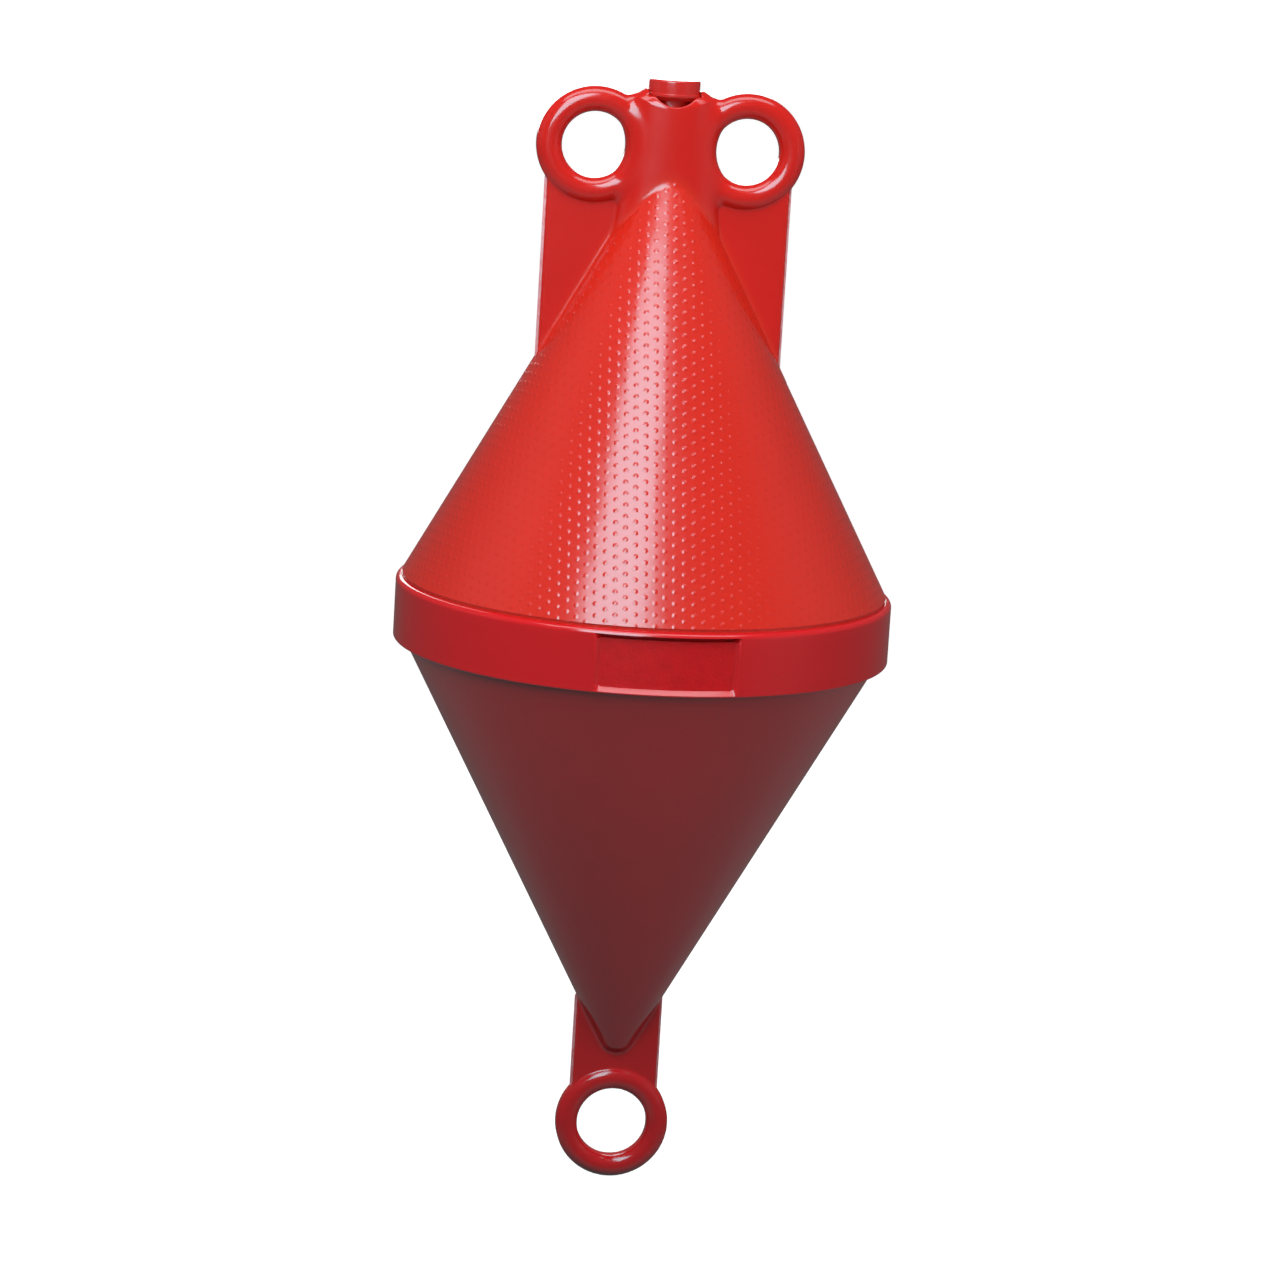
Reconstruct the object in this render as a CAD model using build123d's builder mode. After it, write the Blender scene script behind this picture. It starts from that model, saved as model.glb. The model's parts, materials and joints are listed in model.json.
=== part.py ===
from build123d import *
from math import atan2, cos, radians, sin, sqrt
import os

# Bi-conical mooring buoy of rigid plastic, in millimetres.
# +Z is up, -Y is the front that carries the name panel, and X runs across the two top eyes.
# The origin is on the axis at the middle of the girth band, where the buoy floats.

# Girth band
band_radius = 160.0
band_height = 40.0
band_top_round = 2.6
band_bottom_round = 0.8

# Hull shells; each cone starts a step in from the face of the band
hull_wall = 4.5
upper_step = 2.8
lower_step = 6.5
upper_cone_height = 224.5  # from the band up to the corner of the neck
lower_cone_height = 287.0  # from the band down to where the cone would end in a point
lower_tip_round = 12.5

# Neck, with its heights above the corner where its side would meet the upper cone
neck_corner_radius = 35.5
neck_corner_round = 30.0
neck_foot_drop = 10.0
neck_waist_radius = 29.0
neck_waist_rise = 51.5
neck_top_radius = 26.5
neck_top_rise = 90.0
neck_top_round = 4.0

# Eyes: two beside the neck and one at the bottom, with holes along Y
top_hole_radius = 21.0
top_ring_width = 16.0
top_eye_depth = 17.0
top_eye_rise = 57.5  # above the corner of the neck
top_eye_bite = 1.5  # how far each hole reaches into the side of the neck
bottom_hole_radius = 23.0
bottom_ring_width = 14.0
bottom_eye_depth = 15.5
bottom_eye_drop = 47.5  # below the tip of the lower cone
eye_clearance = 0.3  # between an eye's bore and what stands beside it

# Flat webs that carry the eyes, each a little narrower than its rings
fin_thickness = 8.0
fin_inset = 6.5
tang_thickness = 8.0
tang_inset = 8.0
web_edge_round = 1.5

# Filler plug, its socket, and the finger notch under its front
stem_radius = 11.0
stem_length = 14.0
plug_lip = 5.2
plug_height = 11.0
plug_round = 1.2
socket_clearance = 0.3
socket_end_gap = 2.0
notch_half_width = 12.3
notch_depth = 5.5

# Name panel let into the front of the band
panel_half_angle = 15.7
panel_top_lip = 2.4
panel_bottom_lip = 2.6
panel_lip_chamfer = 1.6
panel_recess = 5.0
panel_thickness = 2.0
panel_gap = 0.3

# Places that follow from the sizes above
band_top = band_height / 2
band_bottom = -band_height / 2
upper_base_radius = band_radius - upper_step
lower_base_radius = band_radius - lower_step
upper_slope = (upper_base_radius - neck_corner_radius) / upper_cone_height
lower_slope = lower_base_radius / lower_cone_height
upper_wall_across = hull_wall * sqrt(1 + upper_slope**2)
lower_wall_across = hull_wall * sqrt(1 + lower_slope**2)
band_inner_radius = lower_base_radius - lower_wall_across

neck_corner_z = band_top + upper_cone_height
neck_foot_z = neck_corner_z - neck_foot_drop
neck_foot_radius = neck_corner_radius + neck_foot_drop * upper_slope
neck_waist_z = neck_corner_z + neck_waist_rise
neck_top_z = neck_corner_z + neck_top_rise

lower_apex_z = band_bottom - lower_cone_height
lower_half_angle = atan2(lower_base_radius, lower_cone_height)
tip_centre_z = lower_apex_z + lower_tip_round / sin(lower_half_angle)
tip_end_z = tip_centre_z - lower_tip_round

top_eye_offset = neck_waist_radius - top_eye_bite + top_hole_radius
top_eye_z = neck_corner_z + top_eye_rise
top_rim_radius = top_hole_radius + top_ring_width
bottom_eye_z = tip_end_z - bottom_eye_drop
bottom_rim_radius = bottom_hole_radius + bottom_ring_width
fin_half_span = top_eye_offset + top_rim_radius - fin_inset
tang_half_width = bottom_rim_radius - tang_inset

plug_radius = stem_radius + plug_lip
socket_radius = stem_radius + socket_clearance
socket_depth = stem_length + socket_end_gap
notch_radius = (notch_half_width**2 + notch_depth**2) / (2 * notch_depth)
notch_axis_z = neck_top_z - notch_depth + notch_radius
panel_floor_radius = band_radius - panel_recess
panel_low_z = band_bottom + panel_bottom_lip
panel_high_z = band_top - panel_top_lip
far = 2 * band_radius  # reaches past the whole buoy in any sketch

# Corners of the outer hull above and below the band, as (radius, height)
upper_corners = [
    (0, band_top),
    (upper_base_radius, band_top),
    (neck_corner_radius, neck_corner_z),
    (neck_waist_radius, neck_waist_z),
    (neck_top_radius, neck_top_z),
    (0, neck_top_z),
]

# One row for each eye: name, middle x, middle z, hole radius, rim radius, depth
eye_rows = [
    ("eye_left", -top_eye_offset, top_eye_z, top_hole_radius, top_rim_radius, top_eye_depth),
    ("eye_right", top_eye_offset, top_eye_z, top_hole_radius, top_rim_radius, top_eye_depth),
    ("eye_bottom", 0, bottom_eye_z, bottom_hole_radius, bottom_rim_radius, bottom_eye_depth),
]

# One row for each web: name, low x, high x, low z, high z, thickness, its eye
web_rows = [
    ("fin_left", -fin_half_span, -top_eye_offset / 2, band_top, top_eye_z, fin_thickness, "eye_left"),
    ("fin_right", top_eye_offset / 2, fin_half_span, band_top, top_eye_z, fin_thickness, "eye_right"),
    ("tang", -tang_half_width, tang_half_width, bottom_eye_z, band_bottom, tang_thickness, "eye_bottom"),
]

os.makedirs("parts", exist_ok=True)


def save(builder, name):
    """Label a finished piece and write it to its own file."""
    builder.part.label = name
    export_step(builder.part, f"parts/{name}.step")


def turn(corners, rounds=(), mode=Mode.ADD):
    """Turn an outline of (radius, height) corners about Z; rounds lists (corner, radius)."""
    with BuildSketch(Plane.XZ) as outline:
        with BuildLine():
            Polyline(*corners, close=True)
        make_face()
        for number, radius in rounds:
            fillet(outline.vertices().sort_by_distance(corners[number])[0], radius)
    revolve(outline.sketch, axis=Axis.Z, mode=mode)


def turn_tip(base_radius, tip_round, mode=Mode.ADD):
    """Turn the lower cone, from the band down to a round tip about the middle of the real tip."""
    end = (0, tip_centre_z - tip_round)
    join = (tip_round * cos(lower_half_angle), tip_centre_z - tip_round * sin(lower_half_angle))
    with BuildSketch(Plane.XZ) as outline:
        with BuildLine():
            Polyline(end, (0, band_bottom), (base_radius, band_bottom), join)
            RadiusArc(join, end, tip_round)
        make_face()
    revolve(outline.sketch, axis=Axis.Z, mode=mode)


def front_sector(inner_radius, outer_radius, low_z, high_z, trim, mode):
    """A curved block at the front of the band, with each side drawn in by trim."""
    side = radians(panel_half_angle)
    near = -trim / sin(side)
    reach = far * cos(side)
    with BuildSketch(Plane.XY.offset(low_z)) as outline:
        Circle(outer_radius)
        Circle(inner_radius, mode=Mode.SUBTRACT)
        with BuildLine():
            Polyline((0, near), (far * sin(side), near - reach), (-far * sin(side), near - reach), close=True)
        make_face(mode=Mode.INTERSECT)
    extrude(outline.sketch, amount=high_z - low_z, mode=mode)


# Eyes: rings of round section, flat at the bore and at the rim
eyes = {}
for name, x, z, hole_radius, rim_radius, depth in eye_rows:
    with BuildPart() as eye:
        with BuildSketch(Plane.XY.offset(z)):
            with Locations((x + (hole_radius + rim_radius) / 2, 0)):
                Circle(depth / 2)
                Rectangle(rim_radius - hole_radius, depth, mode=Mode.INTERSECT)
        revolve(axis=Axis((x, 0, z), (0, 1, 0)))
    eyes[name] = eye.part
    save(eye, name)

# Outer forms of the hull, used only to cut the webs to them
with BuildPart() as upper_form:
    turn(upper_corners, [(2, neck_corner_round)])

with BuildPart() as lower_form:
    turn_tip(lower_base_radius, lower_tip_round)

# Webs: flat plates between the hull and the eyes
for name, low_x, high_x, low_z, high_z, thickness, eye_name in web_rows:
    x, z, hole_radius, rim_radius = [row[1:5] for row in eye_rows if row[0] == eye_name][0]
    with BuildPart() as web:
        with BuildSketch(Plane.XZ):
            with Locations(((low_x + high_x) / 2, (low_z + high_z) / 2)):
                Rectangle(high_x - low_x, high_z - low_z)
        extrude(amount=thickness / 2, both=True)
        fillet(web.edges().filter_by(Axis.Z), web_edge_round)
        add(upper_form.part, mode=Mode.SUBTRACT)
        add(lower_form.part, mode=Mode.SUBTRACT)
        add(eyes[eye_name], mode=Mode.SUBTRACT)
        with Locations(Location((x, 0, z), (90, 0, 0))):
            Cylinder((hole_radius + rim_radius) / 2, 2 * thickness, mode=Mode.SUBTRACT)
    save(web, name)

# Upper hull shell: a plain cone, open below into the band and closed above by the neck
with BuildPart() as upper_cone:
    turn(
        [
            (upper_base_radius, band_top),
            (neck_foot_radius, neck_foot_z),
            (neck_foot_radius - upper_wall_across, neck_foot_z),
            (upper_base_radius - upper_wall_across, band_top),
        ]
    )
save(upper_cone, "upper_cone")

# Lower hull shell: a plain cone with a rounded tip
with BuildPart() as lower_cone:
    add(lower_form.part)
    turn_tip(band_inner_radius, lower_tip_round - hull_wall, mode=Mode.SUBTRACT)
save(lower_cone, "lower_cone")

# Girth band with the recess for the name panel
with BuildPart() as girth_band:
    turn(
        [
            (band_inner_radius, band_bottom),
            (band_radius, band_bottom),
            (band_radius, band_top),
            (band_inner_radius, band_top),
        ],
        [(1, band_bottom_round), (2, band_top_round)],
    )
    front_sector(panel_floor_radius, far, panel_low_z, panel_high_z, 0, Mode.SUBTRACT)
    ledge = girth_band.edges().filter_by(GeomType.CIRCLE).group_by(Axis.Y)[0]
    chamfer(ledge.sort_by(Axis.Z)[0], panel_lip_chamfer)
save(girth_band, "girth_band")

# Blank name panel on the recess floor
with BuildPart() as name_panel:
    front_sector(
        panel_floor_radius,
        panel_floor_radius + panel_thickness,
        panel_low_z + panel_gap,
        panel_high_z - panel_gap,
        panel_gap,
        Mode.ADD,
    )
save(name_panel, "name_panel")

# Neck: a solid head that both top eyes pass into, with the socket for the plug
with BuildPart() as neck:
    turn(
        [(0, neck_foot_z), (neck_foot_radius, neck_foot_z)] + upper_corners[2:],
        [(2, neck_corner_round), (4, neck_top_round)],
    )
    with Locations((0, 0, neck_top_z)):
        Cylinder(socket_radius, 2 * socket_depth, mode=Mode.SUBTRACT)
    with Locations(Location((0, -neck_corner_radius, notch_axis_z), (90, 0, 0))):
        Cylinder(notch_radius, 2 * neck_corner_radius, mode=Mode.SUBTRACT)
    for name in ("eye_left", "eye_right"):
        add(eyes[name], mode=Mode.SUBTRACT)
    with Locations(*[Location((side * top_eye_offset, 0, top_eye_z), (90, 0, 0)) for side in (-1, 1)]):
        Cylinder(top_hole_radius + eye_clearance, far, mode=Mode.SUBTRACT)
save(neck, "neck")

# Filler plug: a thick cap with a stem down into the socket
with BuildPart() as filler_plug:
    turn(
        [
            (0, neck_top_z - stem_length),
            (stem_radius, neck_top_z - stem_length),
            (stem_radius, neck_top_z),
            (plug_radius, neck_top_z),
            (plug_radius, neck_top_z + plug_height),
            (0, neck_top_z + plug_height),
        ],
        [(1, plug_round), (3, plug_round / 2), (4, plug_round)],
    )
save(filler_plug, "filler_plug")
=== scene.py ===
import json
from math import atan2, cos, pi, radians, sin, sqrt, tan

import bmesh
import bpy
import numpy as np
from bpy.props import FloatProperty, FloatVectorProperty, IntProperty, PointerProperty
from mathutils import Matrix, Vector


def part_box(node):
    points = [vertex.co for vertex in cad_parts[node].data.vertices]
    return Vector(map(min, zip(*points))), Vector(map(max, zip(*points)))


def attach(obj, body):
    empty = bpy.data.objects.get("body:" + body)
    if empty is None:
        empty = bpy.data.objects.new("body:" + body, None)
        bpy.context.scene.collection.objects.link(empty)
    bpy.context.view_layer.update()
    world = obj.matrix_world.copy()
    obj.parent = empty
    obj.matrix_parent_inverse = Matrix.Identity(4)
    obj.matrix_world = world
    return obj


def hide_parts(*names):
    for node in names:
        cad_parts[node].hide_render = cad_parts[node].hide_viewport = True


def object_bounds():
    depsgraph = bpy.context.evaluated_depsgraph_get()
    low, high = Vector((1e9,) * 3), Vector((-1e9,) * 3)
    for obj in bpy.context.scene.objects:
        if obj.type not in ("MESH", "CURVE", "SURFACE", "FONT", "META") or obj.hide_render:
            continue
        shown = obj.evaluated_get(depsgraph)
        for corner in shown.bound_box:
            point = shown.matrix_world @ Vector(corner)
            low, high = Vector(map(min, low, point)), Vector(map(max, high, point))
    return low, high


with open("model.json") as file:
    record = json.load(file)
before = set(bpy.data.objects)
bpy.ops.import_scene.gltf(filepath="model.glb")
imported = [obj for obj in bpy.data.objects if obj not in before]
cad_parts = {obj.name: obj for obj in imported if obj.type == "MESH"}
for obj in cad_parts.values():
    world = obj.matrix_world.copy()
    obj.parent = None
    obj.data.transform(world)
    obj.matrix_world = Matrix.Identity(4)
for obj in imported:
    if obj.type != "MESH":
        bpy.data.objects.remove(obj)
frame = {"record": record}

bl_info = {
    "name": "Mooring Buoy",
    "version": (1, 0, 0),
    "blender": (4, 5, 0),
    "location": "View3D > Sidebar > Buoy",
    "description": "Models the moulded skins and finishes of a two-cone mooring buoy on its built frame",
    "category": "Object",
}

# The built frame, in metres: +Z is up and -Y is the front
cad_low, cad_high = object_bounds()
band_low, band_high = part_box("girth_band")
cone_low, cone_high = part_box("upper_cone")
neck_low, neck_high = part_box("neck")
tip_low, tip_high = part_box("lower_cone")
panel_low, panel_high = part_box("name_panel")
fin_low, fin_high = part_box("fin_right")
tang_low, tang_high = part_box("tang")
plug_low, plug_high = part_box("filler_plug")
hole_radius = {
    mount["name"]: mount["dims"]["r_mm"] / 1000
    for mount in frame["record"]["mounts"]
    if mount["kind"] == "bore"
}

upper_slope = (cone_high.x - neck_high.x) / (cone_high.z - cone_low.z)
apex_height = cone_low.z + cone_high.x / upper_slope
lower_base_radius = tip_high.x

# Small fixed sizes, in metres
shoulder_wall = 0.0009
socket_floor_rise = 0.0004
lip_foot_rise = 0.0006
band_wall = 0.008
panel_stand = 0.0008
panel_root = 0.001
skin_relief = 0.00035
grain_relief = 0.0002

# Sharpest bend, in degrees, that is still shaded smooth on the band and its panel
band_crease = 38


def describe(kind, name, description, default, **more):
    """One property with its name, description and default."""
    return kind(name=name, description=description, default=default, **more)


def length(name, description, default):
    return describe(FloatProperty, name, description, default, unit="LENGTH", precision=5)


def angle(name, description, degrees):
    return describe(FloatProperty, name, description, radians(degrees), subtype="ANGLE")


def number(name, description, default):
    return describe(FloatProperty, name, description, default)


def watts(name, description, default):
    return describe(FloatProperty, name, description, default, unit="POWER")


def colour(name, description, default):
    return describe(FloatVectorProperty, name, description, default, subtype="COLOR", size=3, min=0, max=1)


class BuoySizes(bpy.types.PropertyGroup):
    """Sizes of the moulded forms."""

    neck_foot_drop: length("Neck foot drop", "From the corner of neck and cone down to the foot", 0.010)
    neck_corner_round: length("Neck corner round", "Hollow round between cone and neck", 0.030)
    neck_waist_radius: length("Neck waist radius", "Radius of the neck below its eyes", 0.029)
    neck_waist_rise: length("Neck waist rise", "Height of the waist above the corner", 0.0515)
    neck_waist_round: length("Neck waist round", "Round at the waist", 0.120)
    neck_top_radius: length("Neck top radius", "Radius of the neck at its top", 0.0265)
    neck_half_depth: length("Neck half depth", "From the axis to the neck's flat front or back", 0.0160)
    neck_side_round: length("Neck side round", "Round between the neck's flats and its sides", 0.0160)
    cone_neck_blend: length("Cone to neck blend", "Hollow round between cone and the neck's flats", 0.0012)
    neck_top_round: length("Neck top round", "Round of the neck's top edge", 0.004)
    shoulder_rise: length("Shoulder rise", "Height of the plug's shoulders above the neck's top", 0.0055)
    socket_fit: length("Socket fit", "How far the plug's lip is set into its shoulders", 0.0004)
    tip_round: length("Tip round", "Round of the lower cone's tip", 0.0125)
    eye_neck_blend: length("Eye to neck blend", "Hollow round where an eye runs into the neck", 0.006)
    eye_web_blend: length("Eye to web blend", "Hollow round where an eye stands on its web", 0.0005)
    web_hull_blend: length("Web to hull blend", "Hollow round where a web stands on a cone", 0.0015)
    web_edge_round: length("Web edge round", "Round of the webs' outer edges", 0.0015)
    hole_edge_round: length("Hole edge round", "Round of the neck's edge at each hole", 0.0015)
    notch_half_width: length("Notch half width", "Half the width of the finger notch", 0.0123)
    notch_depth: length("Notch depth", "Depth of the finger notch", 0.0058)
    notch_round: length("Notch round", "Round of the edges of notch and socket", 0.0006)
    stem_radius: length("Stem radius", "Radius of the plug's stem", 0.0095)
    plug_radius: length("Plug radius", "Radius of the plug's lip", 0.0170)
    plug_lip: length("Plug lip", "Height of the lip round the plug's lower edge", 0.0018)
    plug_step: length("Plug step", "How far the cap stands back above its lip", 0.0005)
    plug_bevel: length("Plug bevel", "Width of the bevel under the lip", 0.0032)
    rim_round: length("Rim round", "Round of the girth band's top edge", 0.0036)
    band_foot_round: length("Band foot round", "Round of the band's lower edge", 0.0010)
    groove_height: length("Groove height", "Height of the groove between cone and band", 0.0022)
    groove_depth: length("Groove depth", "Depth of that groove", 0.0020)
    panel_half_angle: angle("Panel half angle", "Half the angle that the name panel spans", 16.5)
    panel_side: length("Panel side", "Width of the soft step at each side of the panel", 0.0048)
    slot_height: length("Slot height", "Height of the dark slot over the panel", 0.0028)
    slot_depth: length("Slot depth", "Depth of that slot behind the panel's seat", 0.0042)
    panel_ledge: length("Panel ledge", "Height of the sloping ledge under the panel", 0.0034)
    flash_stand: length("Flash stand", "How far the parting line stands out of a web's edge", 0.0016)
    flash_thickness: length("Flash thickness", "Thickness of the parting line", 0.0022)
    cell: length("Cell", "Size of the even cells of a moulded skin", 0.00115)
    seam_margin: length("Seam margin", "From the end of a web to the seam of its skin", 0.008)
    turn_steps: describe(IntProperty, "Turn steps", "Steps round each cone", 320)
    band_steps: describe(IntProperty, "Band steps", "Steps round the girth band", 1440)
    plug_steps: describe(IntProperty, "Plug steps", "Steps round the filler plug", 128)


class BuoyFinishes(bpy.types.PropertyGroup):
    """Colours and textures of the plastics."""

    hull_red: colour("Hull red", "Smooth moulded plastic", (0.70, 0.0085, 0.0125))
    neck_red: colour("Neck red", "Plastic of the neck, the upper eyes and the fins", (0.68, 0.011, 0.006))
    cone_red: colour("Cone red", "Dotted plastic of the upper cone", (0.70, 0.020, 0.008))
    plug_red: colour("Plug red", "Plastic of the filler plug", (0.62, 0.018, 0.014))
    panel_red: colour("Panel red", "Grained plastic of the name panel", (0.66, 0.009, 0.012))
    # Pale pink of the parting lines: the flash is modelled, and its pink is a painted highlight of light on
    # its rounded edge
    flash_highlight_pink: colour("Flash highlight pink", "Painted edge highlight along the parting lines", (0.86, 0.42, 0.45))
    sheen_tint: colour("Sheen tint", "Colour of the plastic's straight reflections", (0.38, 0.95, 1.0))
    refraction: number("Refraction", "Index of refraction of the plastic", 1.6)
    gloss_roughness: number("Gloss roughness", "Roughness of the smooth plastic", 0.14)
    dotted_roughness: number("Dotted roughness", "Roughness of the dotted plastic", 0.17)
    dot_column: length("Dot column", "Width between columns of dots", 0.0061)
    dot_row: length("Dot row", "Height between dots in a column", 0.0075)
    dot_radius: length("Dot radius", "Radius of one dot", 0.0018)
    dot_height: length("Dot height", "Height of one dot", 0.00025)


class BuoyStage(bpy.types.PropertyGroup):
    """Camera, lights and floor."""

    distance: length("Distance", "From the camera to the point that it looks at", 2.87913)
    elevation: angle("Elevation", "Camera above the horizon", 10.85)
    azimuth: angle("Azimuth", "Camera left of the front", 6.43)
    roll: angle("Roll", "Lean of the buoy to the right in the frame", 3.51)
    lens: describe(FloatProperty, "Lens", "Focal length on a 36 mm sensor", 124.6, unit="CAMERA")
    shift_right: number("Shift right", "Sideways shift of the frame", 0.0012)
    shift_up: number("Shift up", "Upward shift of the frame", -0.0208)
    aim_height: length("Aim height", "Height of the point that the camera looks at", -0.001)
    key_power: watts("Key power", "Power of the front softbox", 4.6)
    key_tint: colour("Key tint", "Colour of the front softbox", (0.85, 0.93, 1.0))
    overhead_power: watts("Overhead power", "Power of the wide softbox overhead", 5.5)
    gloss_above: number("Gloss above", "Brightness of the surround in the buoy's gloss", 0.115)
    gloss_below: number("Gloss below", "The same below the horizon, where a pale floor lies", 0.23)
    side_power: watts("Side power", "Power of the softbox at the left", 3.7)
    top_power: watts("Top power", "Power of the high front softbox", 16.0)
    low_power: watts("Low power", "Power of the low softbox in front", 1.9)
    back_power: watts("Back power", "Power of the softbox behind", 8.0)
    floor_grey: colour("Floor", "Colour of the pale floor", (0.95, 0.95, 0.95))


def settings():
    """The scene's sizes, finishes and stage."""
    scene = bpy.context.scene
    return scene.buoy_sizes, scene.buoy_finishes, scene.buoy_stage


# Outlines of the turned forms


def cone_radius(height):
    """Radius of the upper cone at a height."""
    return (apex_height - height) * upper_slope


def socket_radius(sizes):
    """Radius of the hollow between the shoulders, where the plug's lip sits."""
    return sizes.plug_radius - sizes.socket_fit


def rounded(corners, steps=10):
    """Points of an outline through (radius, height, round) corners, with an arc at each rounded one."""
    points = []
    for index, (radius, height, size) in enumerate(corners):
        here = Vector((radius, height))
        if size == 0:
            points.append(here)
            continue
        back = (Vector(corners[index - 1][:2]) - here).normalized()
        ahead = (Vector(corners[index + 1][:2]) - here).normalized()
        half = back.angle(ahead) / 2
        middle = here + (back + ahead).normalized() * size / sin(half)
        start = here + back * size / tan(half) - middle
        end = here + ahead * size / tan(half) - middle
        for step in range(steps + 1):
            points.append(middle + start.lerp(end, step / steps).normalized() * size)
    return points


def upper_outline(sizes, from_height):
    """The upper hull from a height on the cone up to the middle of the shoulders' top."""
    corner_height = neck_low.z + sizes.neck_foot_drop
    corner_radius = neck_high.x - sizes.neck_foot_drop * upper_slope
    shoulder_height = neck_high.z + sizes.shoulder_rise
    return rounded([
        (cone_radius(from_height), from_height, 0),
        (corner_radius, corner_height, sizes.neck_corner_round),
        (sizes.neck_waist_radius, corner_height + sizes.neck_waist_rise, sizes.neck_waist_round),
        (sizes.neck_top_radius, neck_high.z, sizes.neck_top_round),
        (socket_radius(sizes) + shoulder_wall, shoulder_height, 0),
        (0, shoulder_height, 0),
    ])


def lower_outline(sizes, from_height, axis_gap=1e-9):
    """The lower cone from a height down to the middle of its round tip."""
    slope = lower_wall_slope(sizes)
    start_radius = lower_base_radius - (tip_high.z - from_height) * slope
    point_height = tip_high.z - lower_base_radius / slope
    point = (0, point_height, sizes.tip_round)
    mirrored = (-start_radius, from_height, 0)
    outline = rounded([(start_radius, from_height, 0), point, mirrored], steps=24)
    return [spot for spot in outline if spot.x > -axis_gap]


def lower_wall_slope(sizes, tries=20):
    """Fall in radius for each metre down the lower cone, from its base, its tip's height and round."""
    depth = tip_high.z - tip_low.z
    half = atan2(lower_base_radius, depth)
    for _ in range(tries):
        half = atan2(lower_base_radius, depth + sizes.tip_round / sin(half) - sizes.tip_round)
    return tan(half)


def band_radius(height, sizes):
    """Radius of the band's outer face, with its rounded rim and foot."""
    for edge, size in ((band_high.z, sizes.rim_round), (band_low.z, sizes.band_foot_round)):
        reach = size - abs(edge - height)
        if reach > 0:
            return band_high.x - size + sqrt(size**2 - reach**2)
    return band_high.x


def edge_heights(edge, size, steps=8):
    """Heights that round the band's top or bottom edge evenly."""
    way = 1 if edge > 0 else -1
    return [edge - way * size * (1 - cos(step * pi / (2 * steps))) for step in range(steps + 1)]


# Modelling


def clamp(value):
    """Hold a value between 0 and 1."""
    return min(1, max(0, value))


def ease(share):
    """Ease a share from 0 to 1 in and out."""
    return share * share * (3 - 2 * share)


def turn(bm, outline, steps):
    """Turn an outline of (radius, height) points round the axis into a skin."""
    verts = [bm.verts.new((radius, 0, height)) for radius, height in outline]
    edges = [bm.edges.new(pair) for pair in zip(verts, verts[1:])]
    bmesh.ops.spin(
        bm, geom=verts + edges, axis=(0, 0, 1), cent=(0, 0, 0), angle=2 * pi, steps=steps, use_merge=True
    )
    bmesh.ops.remove_doubles(bm, verts=bm.verts, dist=1e-6)
    bmesh.ops.recalc_face_normals(bm, faces=bm.faces)


def ring_blank(bm, centre, hole, rim, depth):
    """Add a round ring for an eye, its hole along Y."""
    spot = Matrix.Translation((centre.x + (hole + rim) / 2, 0, centre.z))
    circle = bmesh.ops.create_circle(bm, segments=32, radius=depth / 2, matrix=spot)["verts"]
    edges = dict.fromkeys(edge for vert in circle for edge in vert.link_edges)
    bmesh.ops.spin(
        bm, geom=circle + list(edges), axis=(0, 1, 0), cent=centre, angle=2 * pi, steps=128, use_merge=True
    )


def bent_plate(bm, inner, outer, bottom, top, half_angle, steps=64):
    """Add a plate that bends round the axis at the front."""
    start = Vector((-sin(half_angle), -cos(half_angle), 0))
    corners = [(inner, bottom), (outer, bottom), (outer, top), (inner, top)]
    verts = [bm.verts.new(start * radius + Vector((0, 0, height))) for radius, height in corners]
    face = bm.faces.new(verts)
    geometry = [face, *face.edges, *verts]
    bmesh.ops.spin(bm, geom=geometry, axis=(0, 0, 1), cent=(0, 0, 0), angle=2 * half_angle, steps=steps)


def block(bm, low, high):
    """Add a plain block between two corners and return its verts."""
    size = high - low
    place = Matrix.Translation((low + high) / 2) @ Matrix.Diagonal((*size, 1))
    return bmesh.ops.create_cube(bm, size=1, matrix=place)["verts"]


def turned_form(points, outline):
    """Distance of points from a turned skin, below zero inside.

    The outline runs up or down, from the rim to the axis.
    """
    flat = np.stack([np.hypot(points[:, 0], points[:, 1]), points[:, 2]], axis=1)
    spots = np.array([tuple(spot) for spot in outline])
    nearest = np.full(len(points), np.inf)
    for start, end in zip(spots, spots[1:]):
        along = end - start
        share = np.clip((flat - start) @ along / (along @ along), 0, 1)
        nearest = np.minimum(nearest, np.linalg.norm(flat - start - share[:, None] * along, axis=1))
    if spots[0, 1] > spots[-1, 1]:
        spots = spots[::-1]
    return np.where(flat[:, 0] < np.interp(flat[:, 1], spots[:, 1], spots[:, 0]), -nearest, nearest)


def cone_form(points):
    """Distance of points from the upper cone's wall, carried on up to its apex."""
    off = np.hypot(points[:, 0], points[:, 1]) - cone_radius(points[:, 2])
    return off * cos(atan2(upper_slope, 1))


def blend(one, other, size):
    """Join two forms with a hollow round of that size."""
    corner = np.hypot(np.maximum(size - one, 0), np.maximum(size - other, 0))
    return np.maximum(size, np.minimum(one, other)) - corner


def trim(solid, cutter, size):
    """Cut one form out of another and round the edge."""
    return -blend(-solid, cutter, size)


def eye_form(points, centre, hole, rim, depth):
    """A ring of round section with flats at its bore and rim, its hole along Y."""
    off = np.hypot(points[:, 0] - centre.x, points[:, 2] - centre.z) - (hole + rim) / 2
    tube = np.hypot(off, points[:, 1]) - depth / 2
    return np.maximum(tube, np.abs(off) - (rim - hole) / 2)


def hole_form(points, centre, radius):
    """A round hole along Y."""
    return np.hypot(points[:, 0] - centre.x, points[:, 2] - centre.z) - radius


def plate_form(points, low, high, edge):
    """A block between two corners with rounded edges."""
    middle, half = np.array((low + high) / 2), np.array((high - low) / 2)
    off = np.abs(points - middle) - half + edge
    return np.linalg.norm(np.maximum(off, 0), axis=1) + np.minimum(off.max(axis=1), 0) - edge


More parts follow.
